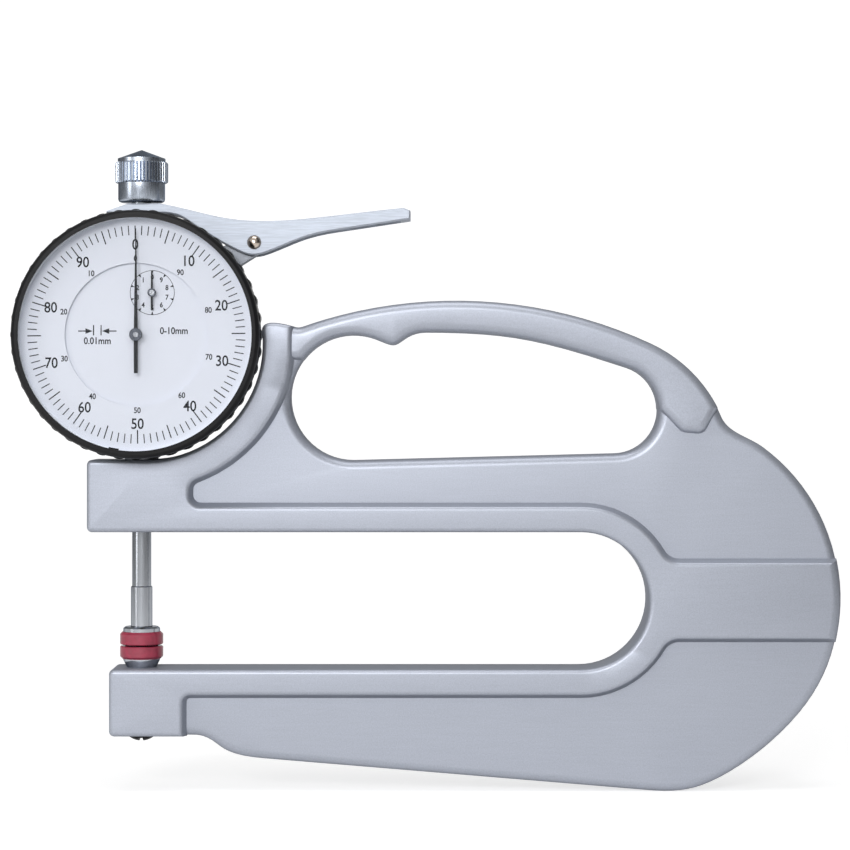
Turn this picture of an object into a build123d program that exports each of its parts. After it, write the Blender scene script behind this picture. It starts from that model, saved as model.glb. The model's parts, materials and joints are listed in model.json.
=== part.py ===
from build123d import *
import os
from math import asin, cos, degrees, pi, radians, sin, sqrt, tan

# Thickness gauge with a 58 mm dial indicator on a deep-throat cast frame.
# Everything is drawn in the front view: x to the right, y up along the spindle, z towards the viewer.
# x = 0 is the spindle's axis, y = 0 the plane where the contacts meet, z = 0 the frame's middle plane.
# At the end every piece is turned upright and moved until the origin lies under the middle of the gauge.

# Measuring range
travel = 10.0
lever_swing = 21.5
contact_gap = 0.04

# Clearances
fit_gap = 0.02
running_gap = 0.05
pivot_gap = 0.03
side_gap = 0.3

# Frame casting
throat_depth = 120.0
throat_above = 27.0
throat_below = 5.2
frame_thick = 15.0
web_thick = 10.0
handle_thick = 13.0
rim_width = 5.8
rib_width = 17.5
step_slope = 1.1
rim_edge_radius = 1.1
web_edge_radius = 2.2
handle_edge_radius = 2.2
back_edge_radius = 2.8
rib_fillet = 5.0
upper_head_left = 12.2
lower_head_left = 7.0
upper_head_height = 17.0
lower_head_height = 15.8
head_corner_radius = 1.2
lower_block_right = 10.0
guard_offset = 1.8
guard_gap = 1.6
guard_width = 6.4
guard_tip_rise = 4.9
back_radius = 44.1
grip_hump = 5.3
grip_root = 2.8
window_floor = 16.8

# Dial indicator: case, bezel and glass
case_radius = 27.5
stem_show = 1.8
case_wall = 2.2
case_rear = 6.8
case_front = 11.0
ledge_width = 1.8
cover_thick = 1.2
bezel_seat = 0.5
bezel_wall = 0.9
bezel_lip = 0.9
bezel_front = 15.8
bezel_rear = 8.0
bezel_lip_thick = 0.8
bump_count = 44
bump_radius = 2.4
bump_height = 0.35
bump_length = 4.6
crystal_thick = 1.0
wire_size = 0.6
wire_level = 9.3
front_plate_inset = 1.2
ledge_thick = 1.5
cover_boss_radius = 1.9
cover_boss_length = 5.0
cover_screw_inset = 3.5
cover_screw_radius = 0.9
cover_screw_head = 1.7
cover_screw_length = 4.0
cover_dish_margin = 4.0
clamp_screw_diameter = 4.0

# Dials and hands
dial_thick = 0.4
outer_dial_face = 11.9
inner_dial_face = 11.2
outer_dial_bore = 16.7
inner_dial_overlap = 0.8
main_hand_margin = 2.4
main_hand_tail = 9.0
hand_thick = 0.2
main_hub_radius = 1.5
counter_hand_length = 4.9
counter_hand_tail = 3.9
counter_hub_radius = 1.0
main_hand_level = 13.0
counter_hand_level = 12.1

# Gear train
rack_pitch = 0.625
rack_pinion_teeth = 16
centre_pinion_teeth = 10
wheel_teeth = 100
wheel_module = 0.19
wheel_thick = 0.8
wheel_level = 6.4
front_plate_rear = 8.9
plate_thick = 1.0
bridge_rear = 3.2
arbor_radius = 0.6
pivot_radius = 0.35
hairspring_turns = 4
hairspring_strip = 0.12
hairspring_radius = 4.4
cock_level = 3.8
cock_thick = 0.8
cock_foot_radius = 2.0
cock_nose_radius = 1.2
rack_pinion_length = 2.8
collar_radius = 0.95
hairspring_level = 4.65
hairspring_height = 0.7
hairspring_angle = 60.0
stud_radius = 0.4
bridge_corner = 2.2
bridge_screw_radius = 0.7
pillar_radius = 1.2
plate_screw_radius = 0.7
plate_screw_head = 1.2
plate_screw_margin = 1.4
dial_foot_radius = 0.9
bridge_margin = 3.3
cock_foot = (-9.2, -9.8)

# Return spring and guide pin
guide_pin_rise = 12.0
guide_pin_radius = 0.75
spring_level = 5.0
spring_low = 17.0
spring_outer = 1.2
spring_wire_pitch = 2.0
spring_post_radius = 0.8

# Spindle line
spindle_diameter = 4.5
tenon_radius = 1.5
tenon_length = 5.0
stud_bolt_radius = 1.25
stud_bolt_length = 3.4
upper_bush_rise = 1.0
upper_bush_length = 5.0
stem_diameter = 8.0
stem_recess = 0.6
bush_wall = 0.7
bush_length = 7.0
adapter_diameter = 5.1
adapter_bottom = 4.4
adapter_length = 9.6
contact_rim_diameter = 8.7
contact_boss_diameter = 8.0
ring_diameter = 10.2
ring_height = 3.0
ring_inset = 0.2
contact_crown = 30.0
anvil_foot_diameter = 7.0
anvil_shank_diameter = 5.0
anvil_screw_head = 7.4
anvil_screw_dome = 1.7
anvil_screw_radius = 1.6
anvil_shank_short = 3.0
anvil_thread = 7.0
cap_diameter = 11.1
cap_knurl_diameter = 12.6
cap_flutes = 48
cap_flute_depth = 0.4
cap_rise = 4.1
cap_plain_height = 4.6
cap_knurl_height = 4.9
cap_collar_height = 0.9
cap_cone_height = 2.1

# Lifting lever
lever_width = 10.0
lever_cheek = 1.6
lever_web = 1.2
pivot_clear = 7.27
pivot_angle = 39.05
lever_pin_diameter = 2.4
lever_head_diameter = 3.3
lever_head_rise = 1.05
lug_radius = 2.6
lever_reach = 36.8
fork_height = 2.3
fork_radius = 3.6
lever_edge = 0.35

# Values that follow from the sizes above
throat_height = throat_above + throat_below
throat_radius = throat_height / 2
throat_middle = throat_above - throat_radius
throat_end = throat_depth - throat_radius
head_top = throat_above + upper_head_height
head_bottom = -throat_below - lower_head_height
dial_height = head_top + stem_show + case_radius
guard_radius = case_radius + guard_gap - guard_offset
guard_right = guard_offset + guard_radius + guard_width
guard_centre = (guard_offset, head_top + guard_radius)
guard_top = guard_centre[1] + guard_tip_rise
window_radius = (guard_top - grip_root - throat_above - window_floor) / 2
window_level = throat_above + window_floor + window_radius
back_centre = (throat_depth + 1.0, throat_middle + 0.5)
bezel_bore = case_radius + bezel_seat
bezel_radius = bezel_bore + bezel_wall
bezel_lip_radius = bezel_bore - bezel_lip
main_hand_length = bezel_lip_radius - main_hand_margin
front_plate_radius = case_radius - front_plate_inset
plate_screw_circle = front_plate_radius - plate_screw_margin
cover_screw_circle = case_radius - cover_screw_inset
cover_dish_radius = cover_screw_circle - cover_dish_margin
cap_bottom = case_radius + cap_rise
pivot_x = (case_radius + pivot_clear) * cos(radians(pivot_angle))
pivot_rise = (case_radius + pivot_clear) * sin(radians(pivot_angle))
bridge_reach = case_radius - case_wall - bridge_margin
guide_corner = (-5.5, bridge_reach)
pillar_places = [(-11.5, 6.0), (11.5, -6.0), (7.6, bridge_reach - 1.5), (-7.6, 1.5 - bridge_reach)]
rack_pinion_radius = rack_pitch * rack_pinion_teeth / (2 * pi)
rack_module = rack_pitch / pi
centre_distance = wheel_module * (wheel_teeth + centre_pinion_teeth) / 2
spindle_radius = spindle_diameter / 2
rack_line = spindle_radius - 0.2
arbor_x = rack_line + rack_pinion_radius
arbor_y = sqrt(centre_distance**2 - arbor_x**2)
rack_arbor = (-arbor_x, -arbor_y)
takeup_arbor = (arbor_x, arbor_y)
mesh_angle = degrees(asin(arbor_y / centre_distance))
cover_rear = case_rear + cover_thick
front_plate_front = front_plate_rear + plate_thick
bridge_front = bridge_rear + plate_thick
wheel_front = wheel_level + wheel_thick


def disc(radius, z0, z1, at=(0, 0)):
    """A round slab between two levels."""
    return Pos(at[0], at[1], (z0 + z1) / 2) * Cylinder(radius, z1 - z0)


def slab(face, z0, z1):
    """A flat outline given its thickness between two levels."""
    return Pos(0, 0, (z0 + z1) / 2) * extrude(face, (z1 - z0) / 2, both=True)


def ring(outer, inner, z0, z1, at=(0, 0)):
    """A flat ring between two levels."""
    return disc(outer, z0, z1, at) - disc(inner, z0 - 1, z1 + 1, at)


def box(x0, x1, y0, y1, z0, z1):
    """A block given by its limits."""
    return Pos((x0 + x1) / 2, (y0 + y1) / 2, (z0 + z1) / 2) * Box(x1 - x0, y1 - y0, z1 - z0)


def turned(points):
    """A body turned about the dial's axis, from (radius, level) points."""
    return revolve(Plane.XZ * make_face(Polyline(*points, close=True)), Axis.Z)


def spun(points):
    """A body turned about the spindle's axis, from (radius, height) points."""
    return revolve(make_face(Polyline(*points, close=True)), Axis.Y)


def rod(radius, y0, y1):
    """A round bar along the spindle's axis."""
    return Pos(0, (y0 + y1) / 2, 0) * Rot(90, 0, 0) * Cylinder(radius, y1 - y0)


def at_dial(shape):
    """Moves a piece drawn about the dial's axis to the dial's place."""
    return Pos(0, dial_height, 0) * shape


def polar(radius, angle):
    return (radius * cos(radians(angle)), radius * sin(radians(angle)))


def gear(teeth, module, thick, level, first_angle):
    """A spur wheel whose first tooth points at first_angle. The teeth are slender, as in a clock train."""
    pitch_radius = module * teeth / 2
    step = 360 / teeth
    tip = pitch_radius + 0.85 * module
    root = pitch_radius - 1.2 * module
    points = []
    for i in range(teeth):
        middle = first_angle + i * step
        points += [polar(root, middle - 0.27 * step), polar(tip, middle - 0.09 * step)]
        points += [polar(tip, middle + 0.09 * step), polar(root, middle + 0.27 * step)]
    return slab(make_face(Polyline(*points, close=True)), level, level + thick)


def lathe_arbor(steps, at):
    """An arbor from (radius, start level, end level) lengths that follow each other."""
    body = disc(steps[0][0], steps[0][1], steps[0][2], at)
    for radius, z0, z1 in steps[1:]:
        body += disc(radius, z0, z1, at)
    return body


def at_place(shape, place):
    return Pos(place[0], place[1], 0) * shape


def hull_of(circles):
    """The outline stretched around circles given as (centre, radius)."""
    edges = []
    for centre, radius in circles:
        edges += (Pos(*centre) * Circle(radius)).edges()
    return make_hull(edges)


def domed(radius, rise, level):
    """A domed head about the dial's axis, from a level upwards: the top of a ball."""
    ball = (radius**2 + rise**2) / (2 * rise)
    centre = level + rise - ball
    return (Pos(0, 0, centre) * Sphere(ball)) & disc(radius + 1, level, level + rise + 1)


# Frame


def silhouette():
    """The casting's outer outline with the throat."""
    guard_start = (guard_offset, head_top)
    guard_arc = CenterArc(guard_centre, guard_radius, -90, 96)
    guard_peak = (guard_right - 3.0, guard_top)
    guard_dip = (guard_right + 1.2, guard_top - 0.9)
    grip_start = (guard_right + 7.9, guard_top + 0.8)
    grip_peak = (throat_depth - 45.5, guard_top + grip_hump)
    grip_end = (throat_depth + 0.5, guard_top + grip_hump - 10.1)
    pinch = (throat_depth + 17.2, guard_top - 22.0)
    grip_arc = ThreePointArc(grip_start, grip_peak, grip_end)
    shoulder = TangentArc(grip_end, pinch, tangent=grip_arc % 1)
    tip_points = [guard_arc @ 1, guard_peak, guard_dip, grip_start]
    guard_tip = Spline(*tip_points, tangents=[guard_arc % 1, grip_arc % 0])
    back_arc = CenterArc(back_centre, back_radius, 54, -56)
    hip = Spline(pinch, back_arc @ 0, tangents=[shoulder % 1, back_arc % 0])
    keel = (throat_depth + 0.4, head_bottom - 13.1)
    belly_start = (32.0, head_bottom - 5.8)
    foot_end = (12.5, head_bottom)
    slope = Vector(belly_start) - Vector(keel)
    heel_points = [back_arc @ 1, (throat_depth + 34.2, -17.4), (throat_depth + 15.9, -31.5), keel]
    heel = Spline(*heel_points, tangents=[back_arc % 1, slope])
    belly = Line(keel, belly_start)
    rise = Spline(belly_start, (19.6, head_bottom - 3.2), foot_end, tangents=[slope, (-1, 0)])
    lower_corner = (-lower_head_left, head_bottom)
    nose = Polyline(foot_end, lower_corner, (-lower_head_left, -throat_below), (throat_end, -throat_below))
    throat_arc = CenterArc((throat_end, throat_middle), throat_radius, -90, 180)
    upper_corner = (-upper_head_left, head_top)
    head = Polyline((throat_end, throat_above), (-upper_head_left, throat_above), upper_corner, guard_start)
    upper_side = [head, guard_arc, guard_tip, grip_arc, shoulder, hip, back_arc]
    face = make_face(upper_side + [heel, belly, rise, nose, throat_arc])
    corners = [v for v in face.vertices() if v.X < -lower_head_left + 0.1]
    return fillet(corners, head_corner_radius)


def window():
    """The grip's opening, with the finger bump on its upper edge."""
    left_centre = (guard_right + window_radius, window_level)
    ceiling_level = window_level + window_radius
    right_radius = window_radius - 4.4
    right_centre = (throat_depth - 8.0, throat_above + window_floor + 1.6 + right_radius)
    floor_left = (left_centre[0], left_centre[1] - window_radius)
    floor_right = (right_centre[0], right_centre[1] - right_radius)
    left_arc = CenterArc(left_centre, window_radius, -90, -195)
    right_arc = CenterArc(right_centre, right_radius, -90, 162)
    bump = (left_centre[0] + 9.5, ceiling_level - 2.3)
    ceiling = (left_centre[0] + 17.2, ceiling_level + 0.7)
    slant = (throat_depth - 30.6, ceiling_level - 0.7)
    bump_line = Spline(left_arc @ 1, bump, ceiling, tangents=[left_arc % 1, (1, 0)])
    top = Spline(ceiling, slant, right_arc @ 1, tangents=[(1, 0), -(right_arc % 1)])
    return make_face([left_arc, bump_line, top, right_arc, Line(floor_left, floor_right)])


def upper_pocket():
    """Where the casting thins above the throat rim, as wide as it is at the outer face."""
    strip = guard_radius + guard_width
    rim_y = throat_above + rim_width
    rim = throat_radius + rim_width
    rib_y = throat_middle + rib_width / 2
    rib_x = throat_end + sqrt(rim**2 - (rib_width / 2) ** 2)
    tip_x = lower_block_right + 1.6
    guard_angle = -degrees(asin(sqrt(1 - ((tip_x - guard_offset) / strip) ** 2)))
    rib_angle = degrees(asin(rib_width / 2 / rim))
    far_x = throat_depth + 2 * back_radius
    far_y = throat_above + 2 * back_radius
    strip_arc = CenterArc(guard_centre, strip, 0, guard_angle)
    rim_arc = CenterArc((throat_end, throat_middle), rim, 90, rib_angle - 90)
    rim_line = Polyline(strip_arc @ 1, (tip_x, rim_y), (throat_end, rim_y))
    far_side = Polyline((rib_x, rib_y), (far_x, rib_y), (far_x, far_y), (guard_right, far_y), strip_arc @ 0)
    face = make_face([strip_arc, rim_line, rim_arc, far_side])
    tips = [v for v in face.vertices() if v.X < tip_x + 0.1]
    face = fillet(tips, 2.9)
    corner = [v for v in face.vertices() if abs(v.X - rib_x) < 0.1 and abs(v.Y - rib_y) < 0.1]
    return fillet(corner, rib_fillet)


def lower_pocket():
    """Where the casting thins below the throat rim."""
    rim_y = -throat_below - rim_width
    rim = throat_radius + rim_width
    rib_y = throat_middle - rib_width / 2
    rib_x = throat_end + sqrt(rim**2 - (rib_width / 2) ** 2)
    rib_angle = degrees(asin(rib_width / 2 / rim))
    far_x = throat_depth + 2 * back_radius
    far_y = -throat_below - 2 * back_radius
    left = lower_block_right
    rim_arc = CenterArc((throat_end, throat_middle), rim, -rib_angle, rib_angle - 90)
    face = make_face(
        [
            Polyline((left, far_y), (far_x, far_y), (far_x, rib_y), (rib_x, rib_y)),
            rim_arc,
            Polyline((throat_end, rim_y), (left, rim_y), (left, far_y)),
        ]
    )
    corner = [v for v in face.vertices() if abs(v.X - left) < 0.1 and abs(v.Y - rim_y) < 0.1]
    face = fillet(corner, 2.0)
    corner = [v for v in face.vertices() if abs(v.X - rib_x) < 0.1 and abs(v.Y - rib_y) < 0.1]
    return fillet(corner, rib_fillet)


def pocket_tool(face):
    """Cuts one pocket on both sides of the casting, with sloping walls that meet the web."""
    depth = (frame_thick - web_thick) / 2
    slope = degrees(asin(step_slope / sqrt(step_slope**2 + depth**2)))
    foot = offset(face, -step_slope, kind=Kind.INTERSECTION)
    side = extrude(face, depth, taper=slope)
    front = Pos(0, 0, frame_thick / 2) * mirror(side, Plane.XY)
    rear = Pos(0, 0, -frame_thick / 2) * side
    return front + rear + extrude(foot, web_thick / 2, both=True)


def handle_zone():
    """The part of the casting that is thickened into a grip, ending in a rounded tongue."""
    left = guard_right - 1.5
    right = throat_depth + 25
    low = window_level + 8.9
    top = throat_above + 2 * back_radius
    tip_left = (throat_depth + 7.6, guard_top - 25.8)
    tip_right = (throat_depth + 12.9, guard_top - 26.3)
    inner_bend = (throat_depth - 4.0, guard_top - 13.5)
    outer_bend = (throat_depth + 18.2, guard_top - 16.4)
    throat_side = Polyline((left, top), (left, low), (guard_right + 11.5, low), inner_bend, tip_left, tip_right)
    back_side = Polyline(tip_right, outer_bend, (right, outer_bend[1] + 3.0), (right, top), (left, top))
    zone = make_face([throat_side, back_side])
    tip = [v for v in zone.vertices() if v.Y < tip_left[1] + 0.1]
    return fillet(tip, 2.4)


def edges_at(solid, level):
    """The edges that lie flat in one level."""
    flat = []
    for edge in solid.edges():
        limits = edge.bounding_box()
        if abs(limits.min.Z - level) < 1e-3 and abs(limits.max.Z - level) < 1e-3:
            flat.append(edge)
    return flat


def rounded_slab(face, thick, radius, border):
    """A slab on the middle plane, rounded on both faces along the edges that it shares with a border."""
    slab = extrude(face, thick / 2, both=True)
    shared = []
    for edge in edges_at(slab, thick / 2) + edges_at(slab, -thick / 2):
        middle = edge @ 0.5
        foot = Vertex(middle.X, middle.Y, 0)
        if any(line.distance_to(foot) < 0.01 for line in border.edges()):
            shared.append(edge)
    return fillet(shared, radius)


def back_rounding():
    """Rounds the rib's two corners where it ends at the casting's back edge."""
    half = frame_thick / 2
    over = 0.04
    start = (back_radius - back_edge_radius - 2 * over, half + over)
    end = (back_radius + over, half - back_edge_radius - 2 * over)
    inset = back_edge_radius * (1 - cos(radians(45)))
    arc = ThreePointArc(start, (back_radius - inset, half - inset), end)
    corner = Polyline(end, (back_radius + 2, half - back_edge_radius), (back_radius + 2, half + 2), start)
    tool = revolve(Plane.XZ * make_face([arc, corner]), Axis.Z)
    tool += mirror(tool, Plane.XY)
    reach = rib_width / 2 + 1.5
    zone = box(0, 2 * back_radius, throat_middle - reach, throat_middle + reach, -frame_thick, frame_thick)
    return at_place(tool, back_centre) & at_place(zone, (back_centre[0], 0))


def make_frame():
    outline = silhouette()
    hole = window()
    body = extrude(outline - hole, frame_thick / 2, both=True)
    body = body - pocket_tool(upper_pocket()) - pocket_tool(lower_pocket())
    body = fillet(edges_at(body, frame_thick / 2) + edges_at(body, -frame_thick / 2), rim_edge_radius)
    body -= back_rounding()
    thin = outline - hole - Pos(*guard_centre) * Circle(guard_radius + guard_width - 2)
    thin -= Pos(0, guard_centre[1] + back_radius) * Rectangle(2 * (guard_right - 2), 2 * back_radius)
    thin -= Rectangle(lower_block_right, 2 * throat_depth)
    thin = max(thin.faces(), key=lambda face: face.area)
    web = rounded_slab(thin, web_thick, web_edge_radius, outline - hole)
    thick = (outline - hole) & handle_zone()
    grip = rounded_slab(thick, handle_thick, handle_edge_radius, thick)
    casting = body + web + grip
    casting -= rod(stem_diameter / 2 + fit_gap, throat_above - 1, head_top + 1)
    casting -= rod(anvil_shank_diameter / 2 + fit_gap, head_bottom - 1, -throat_below + 1)
    clamp = disc(clamp_screw_diameter / 2, -frame_thick / 2 - 1, 0, (0, throat_above + upper_head_height / 2))
    return casting - clamp


# Dial indicator: fixed pieces


def pin_heights():
    """The two ends of the guide pin's slot, measured from the dial's centre."""
    low = guide_pin_rise - guide_pin_radius - side_gap
    high = guide_pin_rise + travel + guide_pin_radius + side_gap
    return low, high


def cover_screw_places():
    return [polar(cover_screw_circle, 45 + 90 * i) for i in range(4)]


def plate_screw_places():
    return [polar(plate_screw_circle, 90 + 120 * i) for i in range(3)]


def make_case():
    inner = case_radius - case_wall
    rim = bezel_bore - running_gap
    groove = (wire_level - fit_gap, wire_level + wire_size + fit_gap)
    bed = rim - wire_size
    body = turned(
        [
            (inner, -case_rear),
            (case_radius, -case_rear),
            (case_radius, bezel_rear + side_gap),
            (rim, bezel_rear + side_gap),
            (rim, groove[0]),
            (bed, groove[0]),
            (bed, groove[1]),
            (rim, groove[1]),
            (rim, case_front),
            (front_plate_radius + fit_gap, case_front),
            (front_plate_radius + fit_gap, front_plate_rear),
            (inner - ledge_width, front_plate_rear),
            (inner - ledge_width, front_plate_rear - ledge_thick),
            (inner, front_plate_rear - ledge_thick),
        ]
    )
    half = lever_width / 2 - lever_cheek - side_gap
    root = polar(case_radius - case_wall / 2, pivot_angle + 3)
    lug = hull_of([((pivot_x, pivot_rise), lug_radius), (root, lug_radius + 0.4)])
    lug = extrude(lug, half, both=True) - disc(inner + 0.5, -half - 1, half + 1)
    body += lug
    for place in cover_screw_places():
        boss = disc(cover_boss_radius, -case_rear, -case_rear + cover_boss_length, place)
        body += boss & disc(inner + 0.5, -case_rear - 1, case_front)
    for place in cover_screw_places():
        body -= disc(cover_screw_radius + fit_gap, -case_rear - 1, -case_rear + cover_screw_length, place)
    ledge_rear = front_plate_rear - ledge_thick
    for place in plate_screw_places():
        body -= disc(plate_screw_radius + fit_gap, ledge_rear - 1, front_plate_rear + 1, place)
    body -= disc(lever_pin_diameter / 2 + fit_gap, -half - 1, half + 1, (pivot_x, pivot_rise))
    body = at_dial(body)
    body -= rod(stem_diameter / 2 + fit_gap, dial_height - case_radius - 1, dial_height)
    body -= rod(bush_outer() + fit_gap, dial_height, dial_height + case_radius + 1)
    post = rod(spring_post_radius + fit_gap, spring_post_foot(), dial_height)
    return body - Pos(0, 0, -spring_level) * post


def bush_outer():
    return spindle_radius + running_gap + bush_wall


def spring_post_foot():
    """The height in the case's bottom wall where the spring post's hole ends."""
    return dial_height - case_radius + case_wall / 2


def make_stem():
    low = throat_above + stem_recess
    high = dial_height - case_radius + case_wall + 1
    tube = rod(stem_diameter / 2, low, high)
    tube -= rod(spindle_radius + side_gap, low - 1, high + 1)
    tube -= rod(bush_outer() + fit_gap, low - 1, low + bush_length)
    return chamfer(tube.edges().group_by(Axis.Y)[0].sort_by(SortBy.LENGTH)[-1], 0.4)


def make_lower_bush():
    low = throat_above + stem_recess
    bore = rod(spindle_radius + running_gap, low - 1, low + bush_length + 1)
    return rod(bush_outer(), low, low + bush_length) - bore


def make_upper_bush():
    high = dial_height + case_radius + upper_bush_rise
    tube = rod(bush_outer(), high - upper_bush_length, high)
    tube -= rod(spindle_radius + running_gap, high - upper_bush_length - 1, high + 1)
    return chamfer(tube.edges().group_by(Axis.Y)[-1], 0.25)


def make_stem_clamp_screw():
    """A socket set screw from the rear of the upper head, up to the stem."""
    radius = clamp_screw_diameter / 2
    start = -frame_thick / 2 + 0.4
    end = -stem_diameter / 2 - fit_gap
    height = throat_above + upper_head_height / 2
    body = disc(radius - fit_gap, start, end, (0, height))
    socket = Pos(0, height, start) * extrude(RegularPolygon(radius * 0.5, 6), 1.6)
    return body - socket


def make_anvil():
    half = contact_boss_diameter / 2
    rim = contact_rim_diameter / 2
    shank = anvil_shank_diameter / 2
    seat = -ring_inset - ring_height
    bottom = head_bottom + anvil_shank_short
    body = spun(
        [
            (0, 0),
            (half - 0.2, 0),
            (half, -0.2),
            (half, seat),
            (rim, seat),
            (rim, seat - 0.3),
            (anvil_foot_diameter / 2, -throat_below),
            (shank, -throat_below),
            (shank, bottom),
            (0, bottom),
        ]
    )
    return body - rod(anvil_screw_radius + fit_gap, bottom - 1, bottom + anvil_thread)


def make_ring(low, chamfer_at):
    """A red collar around a contact, chamfered at its free outer edge."""
    body = rod(ring_diameter / 2, low, low + ring_height)
    body -= rod(contact_boss_diameter / 2 + fit_gap, low - 1, low + ring_height + 1)
    far = body.edges().filter_by(GeomType.CIRCLE).sort_by(SortBy.RADIUS)[-2:].sort_by(Axis.Y)
    body = chamfer(far[chamfer_at], 0.55)
    near = body.edges().filter_by(GeomType.CIRCLE).sort_by(SortBy.RADIUS)[-2:].sort_by(Axis.Y)
    return chamfer(near[-1 - chamfer_at], 0.2)


def make_anvil_screw():
    body = Rot(90, 0, 0) * domed(anvil_screw_head / 2, anvil_screw_dome, -head_bottom)
    body += rod(anvil_screw_radius, head_bottom - 0.5, head_bottom + anvil_shank_short + anvil_thread - 0.5)
    low = head_bottom - anvil_screw_dome
    return body - box(-0.5, 0.5, low - 1, low + 0.9, -anvil_screw_head, anvil_screw_head)


def make_back_cover():
    edge = 0.5
    body = turned(
        [
            (0, -case_rear),
            (case_radius, -case_rear),
            (case_radius, -cover_rear + edge),
            (case_radius - edge, -cover_rear),
            (cover_dish_radius, -cover_rear),
            (cover_dish_radius - 0.3, -cover_rear + 0.3),
            (0, -cover_rear + 0.3),
        ]
    )
    for place in cover_screw_places():
        body -= at_place(countersunk(fit_gap), place)
    return at_dial(body)


def countersunk(grow):
    """A flat countersunk screw of the back cover, grown by a clearance where it is used as a cutter."""
    shank = cover_screw_radius + grow
    head = cover_screw_head + grow
    top = -cover_rear
    return turned(
        [
            (0, top),
            (head, top),
            (shank, top + head - shank),
            (shank, -case_rear + cover_screw_length - 0.5),
            (0, -case_rear + cover_screw_length - 0.5),
        ]
    )


def make_back_cover_screws():
    slotted = countersunk(0) - box(-0.2, 0.2, -5, 5, -cover_rear - 1, -cover_rear + 0.5)
    screws = [at_place(slotted, place).solid() for place in cover_screw_places()]
    return at_dial(Compound(children=screws))


def make_front_plate():
    body = disc(front_plate_radius, front_plate_rear, front_plate_front)
    for place in (0, 0), takeup_arbor:
        body -= disc(arbor_radius + pivot_gap, front_plate_rear - 1, front_plate_front + 1, place)
    body -= disc(pivot_radius + pivot_gap, front_plate_rear - 1, front_plate_front + 1, rack_arbor)
    for place in plate_screw_places():
        body -= disc(plate_screw_radius + fit_gap, front_plate_rear - 1, front_plate_front + 1, place)
    return at_dial(body)


def screw(radius, head_radius, head_high, z_head, z_tip, place):
    """A cheese head screw with its head's seat at z_head and its tip at z_tip, with a slot."""
    way = 1 if z_head > z_tip else -1
    low, high = sorted((z_head, z_tip))
    body = disc(radius, low, high, place)
    low, high = sorted((z_head, z_head + way * head_high))
    body += disc(head_radius, low, high, place)
    top = z_head + way * head_high
    slot = box(-0.15, 0.15, -5, 5, top - head_high / 2, top + head_high / 2)
    return (body - at_place(slot, place)).solid()


def make_plate_screws():
    tip = front_plate_rear - ledge_thick + 0.2
    screws = []
    for place in plate_screw_places():
        screws.append(screw(plate_screw_radius, plate_screw_head, 0.6, front_plate_front, tip, place))
    return at_dial(Compound(children=screws))


def bridge_outline():
    return hull_of([(place, bridge_corner) for place in pillar_places + [guide_corner]])


def make_bridge_plate():
    """The plate behind the wheels. Its slot guides the spindle's pin."""
    body = slab(bridge_outline(), bridge_rear, bridge_front)
    low, high = pin_heights()
    slot_half = guide_pin_radius + running_gap
    slot = box(-slot_half, slot_half, low, high, bridge_rear - 1, bridge_front + 1)
    body -= slot
    for place in (0, 0), takeup_arbor:
        body -= disc(pivot_radius + pivot_gap, bridge_rear - 1, bridge_front + 1, place)
    body -= disc(arbor_radius + pivot_gap, bridge_rear - 1, bridge_front + 1, rack_arbor)
    for place in pillar_places + [cock_foot]:
        body -= disc(bridge_screw_radius + fit_gap, bridge_rear - 1, bridge_front + 1, place)
    body -= disc(stud_radius + fit_gap, bridge_rear - 1, bridge_front + 1, stud_place())
    return at_dial(body)


def make_bridge_pillars():
    pillars = []
    for place in pillar_places:
        pillar = disc(pillar_radius, bridge_front, front_plate_rear, place)
        pillar -= disc(bridge_screw_radius + fit_gap, bridge_front - 1, bridge_front + 2.2, place)
        pillars.append(pillar.solid())
    return at_dial(Compound(children=pillars))


def make_bridge_screws():
    tip = bridge_front + 2
    screws = []
    for place in pillar_places:
        screws.append(screw(bridge_screw_radius, pillar_radius, 0.6, bridge_rear, tip, place))
    return at_dial(Compound(children=screws))


def make_pinion_cock():
    """Carries the rack pinion's rear pivot behind the spindle."""
    arm = hull_of([(cock_foot, cock_foot_radius), (rack_arbor, cock_nose_radius)])
    body = slab(arm, -cock_level, -cock_level + cock_thick)
    body += disc(cock_foot_radius - 0.2, -cock_level + cock_thick / 2, bridge_rear, cock_foot)
    body -= disc(pivot_radius + pivot_gap, -cock_level - 1, -cock_level + 2, rack_arbor)
    body -= disc(bridge_screw_radius + fit_gap, -cock_level - 1, bridge_rear + 1, cock_foot)
    return at_dial(body)


def make_cock_screw():
    return at_dial(screw(bridge_screw_radius, pillar_radius, 0.6, -cock_level, bridge_front - 0.1, cock_foot))


def make_inner_dial():
    rear = inner_dial_face - dial_thick
    body = disc(outer_dial_bore + inner_dial_overlap, rear, inner_dial_face)
    body -= disc(arbor_radius + side_gap, rear - 1, inner_dial_face + 1)
    body -= disc(arbor_radius + side_gap, rear - 1, inner_dial_face + 1, takeup_arbor)
    for sign in (-1, 1):
        body += disc(dial_foot_radius, front_plate_front, rear, (sign * 13.0, -sign * 3.0))
    return at_dial(body)


def make_spring_post():
    post = rod(spring_post_radius, spring_post_foot(), dial_height - spring_low + 1.2)
    eye = disc(0.25, -2, 2, (0, dial_height - spring_low))
    return Pos(0, 0, -spring_level) * (post - eye)


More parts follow.
